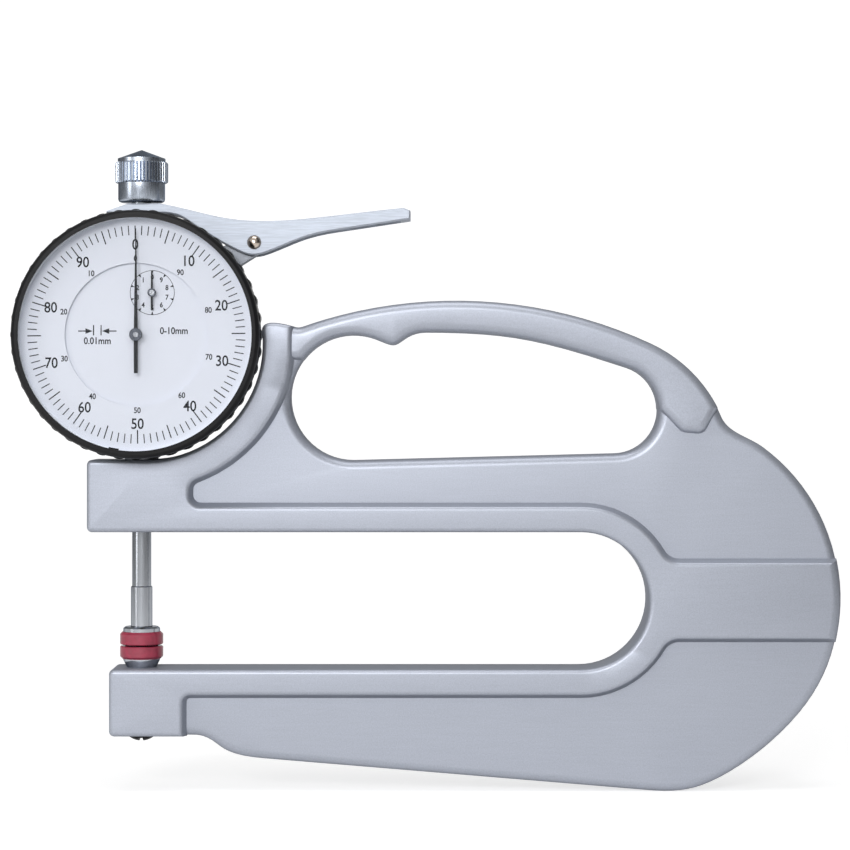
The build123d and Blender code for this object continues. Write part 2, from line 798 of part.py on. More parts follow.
def make_return_spring():
    """A closely wound tension spring, drawn as its stack of turns, with a hook at each end."""
    low = dial_height - spring_low + 1.8
    high = dial_height + guide_pin_rise - 2.2
    turns = round((high - low) / spring_wire_pitch)
    step = (high - low) / turns
    points = [(spring_outer - 0.45, low)]
    for i in range(turns):
        points += [(spring_outer - 0.2, low + i * step), (spring_outer, low + (i + 0.5) * step)]
    points += [(spring_outer - 0.2, high), (spring_outer - 0.45, high)]
    coil = spun(points)
    top = dial_height + guide_pin_rise
    loop = ring(guide_pin_radius + 0.45, guide_pin_radius + 0.1, -0.2, 0.2, (0, top))
    neck = box(-0.2, 0.2, high - 0.3, top - guide_pin_radius - 0.2, -0.2, 0.2)
    bar = box(-spring_outer + 0.3, spring_outer - 0.3, high - 0.5, high - 0.1, -0.2, 0.2)
    foot_bar = box(-spring_outer + 0.3, spring_outer - 0.3, low + 0.1, low + 0.5, -0.2, 0.2)
    tail = box(-0.2, 0.2, dial_height - spring_low + 1.25, low + 0.3, -0.2, 0.2)
    return Pos(0, 0, -spring_level) * (coil + loop + neck + bar + foot_bar + tail)


def stud_place():
    x, y = polar(hairspring_radius + hairspring_strip / 2 + stud_radius, hairspring_angle)
    return takeup_arbor[0] + x, takeup_arbor[1] + y


def make_hairspring():
    """A flat spiral strip that keeps the train's teeth pressed to one side."""
    inner_radius = collar_radius + pivot_gap + hairspring_strip / 2
    steps = 18 * hairspring_turns
    inside, outside = [], []
    for i in range(steps + 1):
        radius = inner_radius + (hairspring_radius - inner_radius) * i / steps
        angle = hairspring_angle + 20 * (i - steps)
        inside.append(polar(radius - hairspring_strip / 2, angle))
        outside.append(polar(radius + hairspring_strip / 2, angle))
    face = make_face(Polyline(*(inside + outside[::-1]), close=True))
    strip = slab(face, hairspring_level, hairspring_level + hairspring_height)
    return at_dial(at_place(strip, takeup_arbor))


def make_hairspring_stud():
    top = hairspring_level + hairspring_height + 0.3
    return at_dial(disc(stud_radius, bridge_rear + 0.1, top, stud_place()))


# Bezel group


def make_bezel():
    wall = bezel_front - bezel_lip_thick
    blank = turned(
        [
            (bezel_lip_radius - 1, bezel_rear),
            (bezel_radius - 0.3, bezel_rear),
            (bezel_radius, bezel_rear + 0.3),
            (bezel_radius, bezel_front - 1.3),
            (bezel_radius - 0.3, bezel_front - 0.5),
            (bezel_radius - 0.9, bezel_front),
            (bezel_lip_radius - 1, bezel_front),
        ]
    )
    centre = bezel_radius + bump_height - bump_radius
    start = bezel_rear + 0.3
    bumps = []
    for i in range(bump_count):
        bumps.append(disc(bump_radius, start, start + bump_length, polar(centre, i * 360 / bump_count)))
    blank = blank + bumps
    groove = (wire_level - running_gap, wire_level + wire_size + running_gap)
    bore = turned(
        [
            (0, bezel_rear - 1),
            (bezel_bore, bezel_rear - 1),
            (bezel_bore, groove[0]),
            (bezel_bore + wire_size * 0.75, groove[0]),
            (bezel_bore + wire_size * 0.75, groove[1]),
            (bezel_bore, groove[1]),
            (bezel_bore, wall),
            (bezel_lip_radius, wall),
            (bezel_lip_radius, bezel_front + 1),
            (0, bezel_front + 1),
        ]
    )
    return at_dial(blank - bore)


def make_bezel_wire():
    """A split wire ring in the case's groove that holds the bezel and lets it turn."""
    inner = bezel_bore - running_gap - wire_size + fit_gap
    body = ring(inner + wire_size * 1.6, inner, wire_level, wire_level + wire_size)
    return at_dial(body - box(-0.8, 0.8, -bezel_radius, 0, 0, bezel_front))


def make_crystal():
    front = bezel_front - bezel_lip_thick
    return at_dial(disc(bezel_bore - fit_gap, front - crystal_thick, front))


def make_dial_spacer():
    front = bezel_front - bezel_lip_thick - crystal_thick
    return at_dial(ring(bezel_bore - fit_gap, bezel_lip_radius + 0.1, outer_dial_face, front))


def make_outer_dial():
    return at_dial(ring(bezel_bore - fit_gap, outer_dial_bore, outer_dial_face - dial_thick, outer_dial_face))


# Moving train


def make_centre_arbor():
    body = lathe_arbor(
        [
            (pivot_radius, bridge_rear + 0.1, bridge_front + 0.2),
            (arbor_radius, bridge_front + 0.2, main_hand_level + hand_thick + 0.3),
        ],
        (0, 0),
    )
    body += gear(centre_pinion_teeth, wheel_module, wheel_thick + 1, wheel_level - 0.5, mesh_angle)
    return at_dial(body)


def crossed_wheel(place, first_angle):
    """A thin wheel with four spokes, bored for its arbor."""
    body = gear(wheel_teeth, wheel_module, wheel_thick, wheel_level, first_angle)
    outer = wheel_module * wheel_teeth / 2 - 1.6
    quarter = Pos(outer / 2 + 0.4, outer / 2 + 0.4) * Rectangle(outer, outer)
    opening = (Circle(outer) - Circle(2.2)) & quarter
    for i in range(4):
        body -= slab(Rot(0, 0, first_angle + 90 * i) * opening, wheel_level - 1, wheel_front + 1)
    body -= disc(arbor_radius + fit_gap, wheel_level - 1, wheel_front + 1)
    return at_dial(at_place(body, place))


def make_rack_arbor():
    tip = front_plate_rear - 0.2
    body = lathe_arbor(
        [
            (pivot_radius, -cock_level + 0.1, -cock_level + cock_thick + 0.2),
            (arbor_radius, -cock_level + cock_thick + 0.2, tip),
            (pivot_radius, tip, front_plate_front - 0.1),
        ],
        (0, 0),
    )
    body += gear(rack_pinion_teeth, rack_module, rack_pinion_length, -rack_pinion_length / 2, 0)
    return at_dial(at_place(body, rack_arbor))


def make_takeup_arbor():
    body = lathe_arbor(
        [
            (pivot_radius, bridge_rear + 0.1, bridge_front + 0.2),
            (arbor_radius, bridge_front + 0.2, counter_hand_level + hand_thick + 0.2),
            (collar_radius, hairspring_level - 0.1, hairspring_level + hairspring_height + 0.1),
        ],
        (0, 0),
    )
    return at_dial(at_place(body, takeup_arbor))


def hand_blade(length, tail, width, tip_width, tail_width, eye, bore, level):
    """A tapered pointer with an eye for its hub."""
    right = [(tip_width / 2, length), (width / 2, 0), (tail_width / 2, -tail)]
    left = [(-x, y) for x, y in reversed(right)]
    blade = make_face(Polyline(*(right + left), close=True))
    return slab(blade + Circle(eye) - Circle(bore), level, level + hand_thick)


def hub(radius, neck, level, rise):
    """A turned hub: its neck goes through the hand's eye and its head lies on the hand."""
    body = disc(neck, level - 0.5, level + hand_thick)
    body += disc(radius, level + hand_thick, level + hand_thick + rise)
    return chamfer(body.edges().group_by(Axis.Z)[-1], 0.12) - disc(arbor_radius + fit_gap, level - 1, level + 3)


def make_main_hand():
    eye = main_hub_radius - 0.15
    bore = main_hub_radius - 0.5
    return at_dial(hand_blade(main_hand_length, main_hand_tail, 0.95, 0.16, 0.9, eye, bore, main_hand_level))


def make_main_hub():
    return at_dial(hub(main_hub_radius, main_hub_radius - 0.5 - fit_gap, main_hand_level, 0.4))


def make_counter_hand():
    eye = counter_hub_radius - 0.05
    bore = counter_hub_radius - 0.2
    blade = hand_blade(counter_hand_length, counter_hand_tail, 0.5, 0.35, 0.5, eye, bore, counter_hand_level)
    return at_dial(at_place(blade, takeup_arbor))


def make_counter_hub():
    neck = counter_hub_radius - 0.2 - fit_gap
    return at_dial(at_place(hub(counter_hub_radius, neck, counter_hand_level, 0.3), takeup_arbor))


# Spindle line


def rack_cutter():
    """The comb of gaps that leaves the rack's teeth standing on the spindle's left side."""
    tip = rack_line + 0.85 * rack_module
    root = rack_line - 1.2 * rack_module
    first = -round((travel + 2.5) / rack_pitch)
    last = round(2.5 / rack_pitch)
    middle = dial_height - arbor_y
    far = -spindle_radius - 1
    points = [(far, middle + (first - 0.5) * rack_pitch)]
    for i in range(first, last + 1):
        gap = middle + i * rack_pitch
        points += [(-tip, gap - 0.41 * rack_pitch), (-root, gap - 0.23 * rack_pitch)]
        points += [(-root, gap + 0.23 * rack_pitch), (-tip, gap + 0.41 * rack_pitch)]
    points.append((far, middle + (last + 0.5) * rack_pitch))
    return extrude(make_face(Polyline(*points, close=True)), spindle_diameter, both=True)


def make_spindle():
    low = adapter_bottom + adapter_length
    high = dial_height + cap_bottom + cap_plain_height + cap_knurl_height - 1
    body = rod(spindle_radius, low, high) + rod(tenon_radius, low - tenon_length, low + 1)
    body -= rack_cutter()
    return body - disc(guide_pin_radius + fit_gap, -9, 9, (0, dial_height + guide_pin_rise))


def make_guide_pin():
    return disc(guide_pin_radius, -spring_level - 0.5, bridge_front - 0.2, (0, dial_height + guide_pin_rise))


def make_cap():
    base = dial_height + cap_bottom
    plain = cap_diameter / 2
    knurl = cap_knurl_diameter / 2
    collar = plain + 0.1
    shoulder = base + cap_plain_height
    knurl_top = shoulder + cap_knurl_height
    collar_top = knurl_top + cap_collar_height
    body = spun(
        [
            (0, base),
            (plain - 0.7, base),
            (plain - 0.2, base + 0.2),
            (plain, base + 0.7),
            (plain, shoulder),
            (knurl - 0.3, shoulder),
            (knurl, shoulder + 0.3),
            (knurl, knurl_top - 0.3),
            (knurl - 0.3, knurl_top),
            (collar, knurl_top),
            (collar, collar_top),
            (0, collar_top + cap_cone_height),
        ]
    )
    step = 360 / cap_flutes
    star = []
    for i in range(cap_flutes):
        star += [polar(knurl - 0.02, (i - 0.25) * step), polar(knurl - 0.02, (i + 0.25) * step)]
        star.append(polar(knurl - cap_flute_depth, (i + 0.5) * step))
    blank = disc(knurl + 1, -knurl_top - 0.1, -shoulder + 0.1)
    flutes = blank - slab(make_face(Polyline(*star, close=True)), -knurl_top - 1, -shoulder + 1)
    body -= Rot(90, 0, 0) * flutes
    return body - rod(spindle_radius + fit_gap, base - 1, knurl_top - 0.8)


def make_adapter():
    top = adapter_bottom + adapter_length
    body = rod(adapter_diameter / 2, adapter_bottom, top)
    body = chamfer(body.edges().group_by(Axis.Y)[-1], 0.25)
    body -= rod(tenon_radius + fit_gap, top - tenon_length - 0.2, top + 1)
    return body - rod(stud_bolt_radius + fit_gap, adapter_bottom - 1, adapter_bottom + stud_bolt_length + 0.2)


def make_spindle_contact():
    """The upper contact: a lightly crowned face on a boss that carries the red ring."""
    half = contact_boss_diameter / 2
    rim = contact_rim_diameter / 2
    seat = ring_inset + ring_height
    sag = contact_crown - sqrt(contact_crown**2 - half**2)
    quarter_sag = contact_crown - sqrt(contact_crown**2 - half**2 / 4)
    crown = ThreePointArc((0, contact_gap), (half / 2, contact_gap + quarter_sag), (half, contact_gap + sag))
    side = Polyline(
        (half, contact_gap + sag),
        (half, seat),
        (rim, seat),
        (rim, adapter_bottom - 0.4),
        (rim - 0.5, adapter_bottom),
        (0, adapter_bottom),
        (0, contact_gap),
    )
    body = revolve(make_face([crown, side]), Axis.Y)
    return body + rod(stud_bolt_radius, adapter_bottom - 0.5, adapter_bottom + stud_bolt_length)


# Lifting lever


def lever_side():
    """The lever seen from the front: fork over the case, swell at the pin, finger plate at the right."""
    x0 = pivot_x
    y0 = dial_height + pivot_rise
    top_y = dial_height + cap_bottom - 0.5
    low_y = top_y - fork_height
    fork_x = fork_radius + 1.1
    end_x = x0 + lever_reach
    crest = Spline(
        (fork_x, top_y),
        (x0 - 16.6, y0 + 8.0),
        (x0 - 6.7, y0 + 5.75),
        (x0 + 3.2, y0 + 5.05),
        (x0 + 13.1, y0 + 5.7),
        (x0 + 28.2, y0 + 7.4),
        (end_x - 1.6, y0 + 8.15),
    )
    tip = Polyline(crest @ 1, (end_x, y0 + 7.5), (end_x, y0 + 5.5), (x0 + 18.9, y0 + 2.8))
    sole = Spline(
        tip @ 1,
        (x0 + 11.3, y0 + 1.0),
        (x0 + 3.6, y0 - 2.1),
        (x0 - 0.6, y0 - 3.0),
        (x0 - 4.2, y0 - 1.8),
        (x0 - 15.0, y0 + 4.6),
        (fork_x, low_y),
        tangents=[tip % 1, (-1, 0)],
    )
    fork = Polyline(sole @ 1, (-7.8, low_y), (-7.8, low_y + 0.5), (-2.6, top_y), (fork_x, top_y))
    return make_face([crest, tip, sole, fork])


def make_lever():
    """A channel-shaped lever, open below, with a fork around the spindle under the cap."""
    low_y = dial_height + cap_bottom - 0.5 - fork_height
    side = lever_side()
    body = slab(side, -lever_width / 2, lever_width / 2)
    edges = edges_at(body, lever_width / 2) + edges_at(body, -lever_width / 2)
    body = chamfer([edge for edge in edges if (edge @ 0.5).X > -3], lever_edge)
    half = lever_width / 2 - lever_cheek
    channel = Pos(0, -lever_web) * side
    for drop in (2, 4, 6):
        channel += Pos(0, -lever_web - drop) * side
    channel &= Pos(pivot_x + 9.0, dial_height + pivot_rise) * Rectangle(51, 60)
    body -= slab(channel, -half, half)
    body -= rod(fork_radius, low_y - 3, low_y + 9)
    body -= box(-20, 0, low_y - 3, low_y + 9, -fork_radius, fork_radius)
    pin_bore = disc(lever_pin_diameter / 2 + running_gap, -9, 9)
    return body - at_place(pin_bore, (pivot_x, dial_height + pivot_rise))


def make_lever_pin():
    place = (pivot_x, dial_height + pivot_rise)
    half = lever_width / 2 + 0.1
    body = disc(lever_pin_diameter / 2, -half, half, place)
    head = at_place(domed(lever_head_diameter / 2, lever_head_rise, half), place)
    return body + head + mirror(head, Plane.XY)


pieces = {
    "frame": make_frame,
    "anvil": make_anvil,
    "anvil_ring": lambda: make_ring(-ring_inset - ring_height, 0),
    "anvil_screw": make_anvil_screw,
    "stem_clamp_screw": make_stem_clamp_screw,
    "case": make_case,
    "stem": make_stem,
    "lower_bush": make_lower_bush,
    "upper_bush": make_upper_bush,
    "back_cover": make_back_cover,
    "back_cover_screws": make_back_cover_screws,
    "front_plate": make_front_plate,
    "plate_screws": make_plate_screws,
    "bridge_plate": make_bridge_plate,
    "bridge_pillars": make_bridge_pillars,
    "bridge_screws": make_bridge_screws,
    "pinion_cock": make_pinion_cock,
    "cock_screw": make_cock_screw,
    "inner_dial": make_inner_dial,
    "spring_post": make_spring_post,
    "return_spring": make_return_spring,
    "hairspring": make_hairspring,
    "hairspring_stud": make_hairspring_stud,
    "bezel_wire": make_bezel_wire,
    "lever_pin": make_lever_pin,
    "bezel": make_bezel,
    "crystal": make_crystal,
    "dial_spacer": make_dial_spacer,
    "outer_dial": make_outer_dial,
    "centre_arbor": make_centre_arbor,
    "main_hand": make_main_hand,
    "main_hand_hub": make_main_hub,
    "rack_arbor": make_rack_arbor,
    "rack_wheel": lambda: crossed_wheel(rack_arbor, mesh_angle + 180 / wheel_teeth),
    "takeup_arbor": make_takeup_arbor,
    "takeup_wheel": lambda: crossed_wheel(takeup_arbor, mesh_angle + 180 + 180 / wheel_teeth),
    "counter_hand": make_counter_hand,
    "counter_hand_hub": make_counter_hub,
    "spindle": make_spindle,
    "guide_pin": make_guide_pin,
    "spindle_cap": make_cap,
    "contact_adapter": make_adapter,
    "spindle_contact": make_spindle_contact,
    "spindle_ring": lambda: make_ring(ring_inset, 1),
    "lifting_lever": make_lever,
}


def main():
    """Builds every piece upright, with the origin under the middle of the whole gauge."""
    upright = {name: Rot(90, 0, 0) * make() for name, make in pieces.items()}
    solids = [solid for shape in upright.values() for solid in shape.solids()]
    whole = Compound(children=solids).bounding_box()
    origin = Pos(-(whole.min.X + whole.max.X) / 2, -(whole.min.Y + whole.max.Y) / 2, -whole.min.Z)
    print("origin moved by", origin.position)
    os.makedirs("parts", exist_ok=True)
    for name, shape in upright.items():
        export_step(origin * shape, f"parts/{name}.step")


if __name__ == "__main__":
    main()
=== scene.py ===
import json
from math import cos, pi, radians, sin

import bmesh
import bpy
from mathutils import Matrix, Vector


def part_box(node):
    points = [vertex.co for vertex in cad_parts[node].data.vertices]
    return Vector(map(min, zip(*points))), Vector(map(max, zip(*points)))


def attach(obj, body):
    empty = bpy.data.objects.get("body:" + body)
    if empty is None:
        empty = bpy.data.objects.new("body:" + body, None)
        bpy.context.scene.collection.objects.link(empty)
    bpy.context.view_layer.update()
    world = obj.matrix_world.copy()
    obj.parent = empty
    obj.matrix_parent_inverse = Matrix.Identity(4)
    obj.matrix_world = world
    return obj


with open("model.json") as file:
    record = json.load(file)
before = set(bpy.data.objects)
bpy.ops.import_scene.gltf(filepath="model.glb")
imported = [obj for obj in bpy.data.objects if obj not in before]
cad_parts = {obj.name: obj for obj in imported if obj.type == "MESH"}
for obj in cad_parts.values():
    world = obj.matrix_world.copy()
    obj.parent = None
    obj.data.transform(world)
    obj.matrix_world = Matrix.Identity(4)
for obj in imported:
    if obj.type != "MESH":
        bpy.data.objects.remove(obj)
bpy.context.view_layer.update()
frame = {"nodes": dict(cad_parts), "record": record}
nodes = frame["nodes"]
MM = 0.001

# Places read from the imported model
crystal_low, crystal_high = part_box("crystal")
dial_x = (crystal_low.x + crystal_high.x) / 2
dial_z = (crystal_low.z + crystal_high.z) / 2
crystal_y = crystal_low.y
outer_dial_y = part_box("outer_dial")[0].y
inner_dial_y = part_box("inner_dial")[0].y
counter_low, counter_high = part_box("takeup_wheel")
counter_centre = (
    ((counter_low.x + counter_high.x) / 2 - dial_x) / MM,
    ((counter_low.z + counter_high.z) / 2 - dial_z) / MM,
)
contact_low, contact_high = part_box("spindle_contact")
spindle_x = (contact_low.x + contact_high.x) / 2
frame_low, frame_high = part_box("frame")
middle_y = (frame_low.y + frame_high.y) / 2

# Dial print, in millimetres and degrees
print_thick = 0.012
dial_turn = -0.68
tick_outer = 25.4
minor_tick = 2.2
major_tick = 3.2
minor_width = 0.23
major_width = 0.27
divisions = 100
division_angle = 3.6
major_every = 5
figure_count = 10
figure_angle = 36
large_radius = 20.9
large_height = 2.35
small_radius = 17.7
small_height = 1.25
ring_steps = 48
counter_circle = 5.15
counter_line = 0.13
counter_tick = 0.85
counter_foot = 3.2
counter_radius = 3.6
counter_height = 1.1
value_height = 1.5
value_level = 0.85
value_place = (-9.15, -1.5)
range_place = (8.7, value_level)
arrow_bars = (-10.05, -8.3)
arrow_tail = 3.6
arrow_neck = 1.9
arrow_tip = 0.2
arrow_line = 0.13
arrow_half = 0.65
bar_below = 1.0
bar_above = 1.4
# Painted shade: a short dark arc in the gap at the crystal's edge
shade_arc_radius = 26.95
shade_arc_width = 0.3
shade_arc_start = 188
shade_arc_end = 193
shade_arc_steps = 6

# Figures: share of the font's size that a figure is high, width share, and boldness in millimetres
figure_share = 0.675
figure_narrow = 0.88
figure_bold = 0.045
figure_curve_steps = 4

# View, measured in the photo's pixels
photo_pixels = 850
view_distance = 650 * MM
scale_at_middle = 4.214
axis_column = 430
axis_row = 400
spindle_column = 141.7
contact_row = 644.7
sensor_width = 36
near_clip = 0.01
far_clip = 20

# Stage, in metres. Each white level is a share of the reach and the strength there.
backdrop_y = 1.6
stage_half = 9
stage_top = 5
cove_radius = 0.5
cove_steps = 24
stage_grey = (0.5, 0.5, 0.5)
white_centre = (0, 1.6, 0.2)
white_reach = (0.96, 2.4, 1.08)
white_levels = [(0.45, 0.78), (0.65, 0.68), (0.83, 0.68), (1.0, 0.0)]

# Light
tent_low = 0.09
tent_high = 1.05
tent_direction = (-0.35, -0.85, 0.35)
tent_start = 0.2
tent_full = 0.95
lamps = [
    # name, place, target, size, watts
    ("key_light", (-0.22, -0.95, 0.40), (-0.02, 0, 0.08), (0.5, 0.3), 5.3),
    ("left_light", (-0.75, -0.45, 0.10), (-0.07, 0, 0.08), (0.2, 0.4), 0.8),
    ("top_light", (0.0, -0.15, 0.9), (0.02, 0, 0.08), (0.6, 0.4), 2.8),
]

# Parts of a noise's range that colours and numbers follow
color_span = (0.35, 0.65)
number_span = (0.3, 0.7)

# Smooth shading of the CAD faces
weld_distance = 0.002 * MM
sharp_angle = radians(32)


# Shader helpers


def new_material(name):
    """An empty node material with a Principled shader wired to its output."""
    material = bpy.data.materials.new(name)
    material.use_nodes = True
    tree = material.node_tree
    tree.nodes.clear()
    output = tree.nodes.new("ShaderNodeOutputMaterial")
    shader = tree.nodes.new("ShaderNodeBsdfPrincipled")
    tree.links.new(shader.outputs["BSDF"], output.inputs["Surface"])
    return material, tree, shader


def math_node(tree, operation, *values):
    """The result of a math node, whose inputs are sockets or plain numbers."""
    node = tree.nodes.new("ShaderNodeMath")
    node.operation = operation
    for socket, value in zip(node.inputs, values):
        if isinstance(value, (int, float)):
            socket.default_value = value
        else:
            tree.links.new(value, socket)
    return node.outputs["Value"]


def vector_node(tree, operation, vector, constant=None):
    """A vector math node on a vector, with a constant as its second input."""
    node = tree.nodes.new("ShaderNodeVectorMath")
    node.operation = operation
    tree.links.new(vector, node.inputs[0])
    if constant is not None:
        node.inputs[1].default_value = constant
    return node


def object_coordinates(tree, stretch=(1, 1, 1)):
    """Object coordinates in metres, stretched along the axes."""
    coordinates = tree.nodes.new("ShaderNodeTexCoord")
    mapping = tree.nodes.new("ShaderNodeMapping")
    mapping.inputs["Scale"].default_value = stretch
    tree.links.new(coordinates.outputs["Object"], mapping.inputs["Vector"])
    return mapping.outputs["Vector"]


def noise(tree, vector, grain, detail=3.0):
    """Noise whose grain is given as a size in metres."""
    texture = tree.nodes.new("ShaderNodeTexNoise")
    texture.inputs["Scale"].default_value = 1 / grain
    texture.inputs["Detail"].default_value = detail
    tree.links.new(vector, texture.inputs["Vector"])
    return texture.outputs["Fac"]


def ramp(tree, value, low, high):
    """A colour between two colours by the middle part of a noise's range."""
    blend = tree.nodes.new("ShaderNodeValToRGB")
    for stop, place, color in zip(blend.color_ramp.elements, color_span, (low, high)):
        stop.position = place
        stop.color = (*color, 1)
    tree.links.new(value, blend.inputs["Fac"])
    return blend.outputs["Color"]


def map_range(tree, value, source, target):
    """A map range node from the source's range to the target's."""
    scale = tree.nodes.new("ShaderNodeMapRange")
    scale.inputs["From Min"].default_value, scale.inputs["From Max"].default_value = source
    scale.inputs["To Min"].default_value, scale.inputs["To Max"].default_value = target
    tree.links.new(value, scale.inputs["Value"])
    return scale


def between(tree, value, low, high):
    """A number between two numbers, by the middle part of a noise's range."""
    return map_range(tree, value, number_span, (low, high)).outputs["Result"]


def bump(tree, shader, value, height, strength=1.0):
    """Relief of a given height in metres."""
    relief = tree.nodes.new("ShaderNodeBump")
    relief.inputs["Strength"].default_value = strength
    relief.inputs["Distance"].default_value = height
    tree.links.new(value, relief.inputs["Height"])
    tree.links.new(relief.outputs["Normal"], shader.inputs["Normal"])


def shade(color, factor):
    return tuple(min(1.0, channel * factor) for channel in color)


def tint(tree, shader, value, color, low, high):
    """A base colour that varies between two shades of one colour."""
    mixed = ramp(tree, value, shade(color, low), shade(color, high))
    tree.links.new(mixed, shader.inputs["Base Color"])


def satin(tree, shader, value, low, high):
    """A roughness that varies between two numbers."""
    tree.links.new(between(tree, value, low, high), shader.inputs["Roughness"])


# Materials

# Directions in which the marks of a surface are drawn out
along_frame = (0.06, 1, 1)
along_spindle = (1, 1, 0.05)
along_depth = (1, 0.05, 1)
along_lever = (0.06, 1, 1)
in_cover_plane = (0.05, 1, 0.05)
no_direction = (1, 1, 1)


def metallic_paint(name, color):
    """Silver paint with fine flake, faint streaks along the frame and a slight orange peel."""
    flake_size, streak_size, peel_size = 0.28 * MM, 0.6 * MM, 0.7 * MM
    flake_share = 0.6
    peel_height = 0.012 * MM
    material, tree, shader = new_material(name)
    vector = object_coordinates(tree)
    flake = noise(tree, vector, flake_size, detail=2.0)
    streaks = noise(tree, object_coordinates(tree, along_frame), streak_size)
    peel = noise(tree, vector, peel_size, detail=2.0)
    faint_streaks = between(tree, streaks, low=0.175, high=0.225)
    grain = math_node(tree, "MULTIPLY_ADD", flake, flake_share, faint_streaks)
    tint(tree, shader, grain, color, low=0.88, high=1.09)
    satin(tree, shader, flake, low=0.38, high=0.46)
    shader.inputs["Metallic"].default_value = 0.55
    shader.inputs["Specular IOR Level"].default_value = 0.05
    shader.inputs["Specular Tint"].default_value = (0.05, 0.06, 0.07, 1)
    bump(tree, shader, peel, peel_height, strength=0.5)
    return material


def turned_metal(name, color, roughness, stretch, metallic=1.0, gloss=0.5, contrast=0.05):
    """Metal with fine lathe or brush marks, drawn out where stretch is small."""
    mark_size, mark_depth = 0.25 * MM, 0.001 * MM
    material, tree, shader = new_material(name)
    marks = noise(tree, object_coordinates(tree, stretch), mark_size, detail=4.0)
    tint(tree, shader, marks, color, low=1 - contrast, high=1 + contrast)
    satin(tree, shader, marks, low=roughness * 0.9, high=roughness * 1.12)
    shader.inputs["Metallic"].default_value = metallic
    shader.inputs["Specular IOR Level"].default_value = gloss
    shader.inputs["Specular Tint"].default_value = (0.2, 0.22, 0.25, 1)
    bump(tree, shader, marks, mark_depth, strength=0.2)
    return material


def lacquer(name, color, roughness):
    """Glossy red lacquer of the contact rings."""
    cloud_size = 1.5 * MM
    material, tree, shader = new_material(name)
    clouds = noise(tree, object_coordinates(tree), cloud_size)
    tint(tree, shader, clouds, color, low=0.85, high=1.1)
    satin(tree, shader, clouds, low=roughness, high=roughness * 1.3)
    shader.inputs["Coat Weight"].default_value = 0.3
    return material


def moulded(name, color, roughness):
    """Moulded plastic with a fine grain."""
    grain_size, grain_height = 0.3 * MM, 0.006 * MM
    material, tree, shader = new_material(name)
    grains = noise(tree, object_coordinates(tree), grain_size)
    tint(tree, shader, grains, color, low=0.9, high=1.1)
    satin(tree, shader, grains, low=roughness * 0.9, high=roughness * 1.15)
    shader.inputs["Specular IOR Level"].default_value = 0.12
    bump(tree, shader, grains, grain_height, strength=0.4)
    return material


def printed(name, color):
    """A flat printed or painted face with a barely visible tooth."""
    tooth_size = 0.2 * MM
    material, tree, shader = new_material(name)
    tooth = noise(tree, object_coordinates(tree), tooth_size)
    tint(tree, shader, tooth, color, low=0.97, high=1.01)
    shader.inputs["Roughness"].default_value = 0.5
    shader.inputs["Specular IOR Level"].default_value = 0.1
    return material


def clear_glass(name):
    """Thin flat mineral glass: mostly clear, with a faint gloss."""
    smear_size = 6 * MM
    material, tree, shader = new_material(name)
    smear = noise(tree, object_coordinates(tree), smear_size)
    satin(tree, shader, smear, low=0.02, high=0.05)
    shader.inputs["Base Color"].default_value = (0.30, 0.32, 0.34, 1)
    shader.inputs["Alpha"].default_value = 0.05
    return material


metals = {
    # name: colour, roughness, stretch, then metallic, gloss and contrast where they differ
    "steel": ((0.46, 0.48, 0.515), 0.17, along_spindle),
    "cap_steel": ((0.47, 0.515, 0.59), 0.26, along_spindle),
    "dark_steel": ((0.02, 0.02, 0.023), 0.35, along_depth, 0.0, 0.02),
    "hairspring_steel": ((0.10, 0.14, 0.35), 0.3, along_depth),
    # Case colour darker than its satin chrome: partly the metal's tone, partly painted shade of the
    # lug
    "case_metal": ((0.17, 0.18, 0.20), 0.35, in_cover_plane, 0.8),
    "movement_brass": ((0.60, 0.45, 0.20), 0.3, along_depth),
    "lever_alloy": ((0.46, 0.497, 0.562), 0.48, along_lever, 0.4, 0.1, 0.12),
    "pin_steel": ((0.50, 0.43, 0.37), 0.18, no_direction),
    "hub_steel": ((0.06, 0.066, 0.08), 0.3, no_direction),
}
materials = {name: turned_metal(name, *values) for name, values in metals.items()}
materials["frame_paint"] = metallic_paint("frame_paint", (0.39, 0.413, 0.473))
materials["contact_red"] = lacquer("contact_red", (0.31, 0.022, 0.055), 0.40)
materials["bezel_black"] = moulded("bezel_black", (0.012, 0.012, 0.013), 0.35)
materials["hand_black"] = moulded("hand_black", (0.004, 0.004, 0.006), 0.55)
materials["crystal_clear"] = clear_glass("crystal_clear")
materials["spacer_white"] = printed("spacer_white", (0.80, 0.83, 0.87))
materials["dial_white"] = printed("dial_white", (0.765, 0.795, 0.88))
# Black of the dial's print, and of the arc of painted shade at the crystal's edge
print_and_painted_shade = printed("dial_print_and_shade", (0.008, 0.008, 0.012))

# Pieces whose finish differs from the rest of their slot
own_materials = {
    "lever_pin": "pin_steel",
    "main_hand_hub": "hub_steel",
    "counter_hand_hub": "hub_steel",
}


# CAD nodes: smooth shading over the welded faces, and their materials


